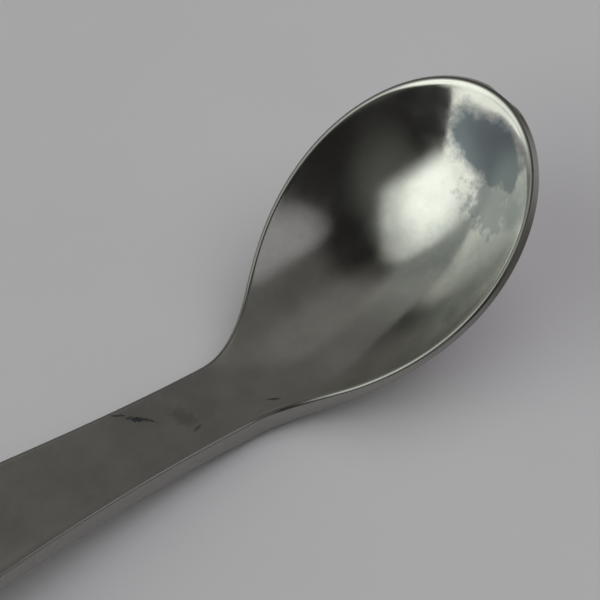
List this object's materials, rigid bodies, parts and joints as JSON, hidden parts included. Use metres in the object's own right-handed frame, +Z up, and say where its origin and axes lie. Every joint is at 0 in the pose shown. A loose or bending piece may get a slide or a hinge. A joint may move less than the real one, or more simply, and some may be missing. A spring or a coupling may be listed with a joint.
{
  "type": "measuring spoon",
  "caption": "One-piece metal teaspoon measure: oval pressed bowl, bent neck and a flat arched handle that widens to a rounded end with a hanging hole.",
  "frame": {"origin": "on the table, under the middle of the spoon's length and on its middle line; the spoon lies on the heel of its bowl and the end of its handle", "axes": "+X towards the tip of the bowl, +Y across the spoon, +Z up from the table"},
  "size_m": [0.144, 0.0346, 0.0271],
  "materials": {
    "steel": "satin, worn: fine scratches, smudges and a dull tarnish"
  },
  "bodies": {
    "root": {"spoon": "steel"}
  },
  "joints": []
}
